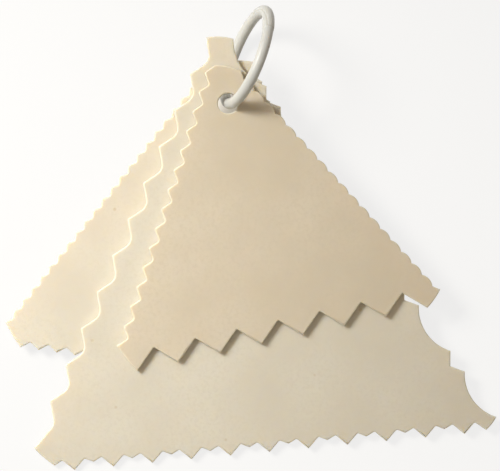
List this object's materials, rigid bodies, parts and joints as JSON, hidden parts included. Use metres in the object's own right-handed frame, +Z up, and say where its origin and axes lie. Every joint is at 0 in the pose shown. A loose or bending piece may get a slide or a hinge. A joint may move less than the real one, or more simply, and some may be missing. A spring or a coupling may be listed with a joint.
{
  "type": "icing smoother set",
  "caption": "Triangular plastic icing smoother combs with patterned edges, fanned out on one plastic ring.",
  "frame": {"origin": "on the table, under the middle of the whole set as it lies", "axes": "+Z up from the table; the combs' holes and the ring are on the +Y side, uphill; the front comb's tall teeth face -Y"},
  "size_m": [0.1394, 0.1312, 0.0297],
  "materials": {
    "comb_plastic": "satin ivory moulded plastic",
    "ring_plastic": "semi-gloss off-white moulded plastic"
  },
  "bodies": {
    "ring": {"ring": "ring_plastic"},
    "comb_front": {"comb_front": "comb_plastic"},
    "comb_middle": {"comb_middle": "comb_plastic"},
    "comb_back": {"comb_back": "comb_plastic"}
  },
  "joints": [
    {"name": "front_fan", "type": "hinge", "parent": "ring", "child": "comb_front", "pos_m": [-0.00639, 0.03757, 0.01326], "axis": [0, -0.1206, 0.9927], "range_deg": [-158, 91]},
    {"name": "middle_fan", "type": "hinge", "parent": "ring", "child": "comb_middle", "pos_m": [-0.00639, 0.03757, 0.01326], "axis": [0, -0.1206, 0.9927], "range_deg": [-144, 91]},
    {"name": "back_fan", "type": "hinge", "parent": "ring", "child": "comb_back", "pos_m": [-0.00639, 0.03757, 0.01326], "axis": [0, -0.1206, 0.9927], "range_deg": [-132, 106]}
  ]
}
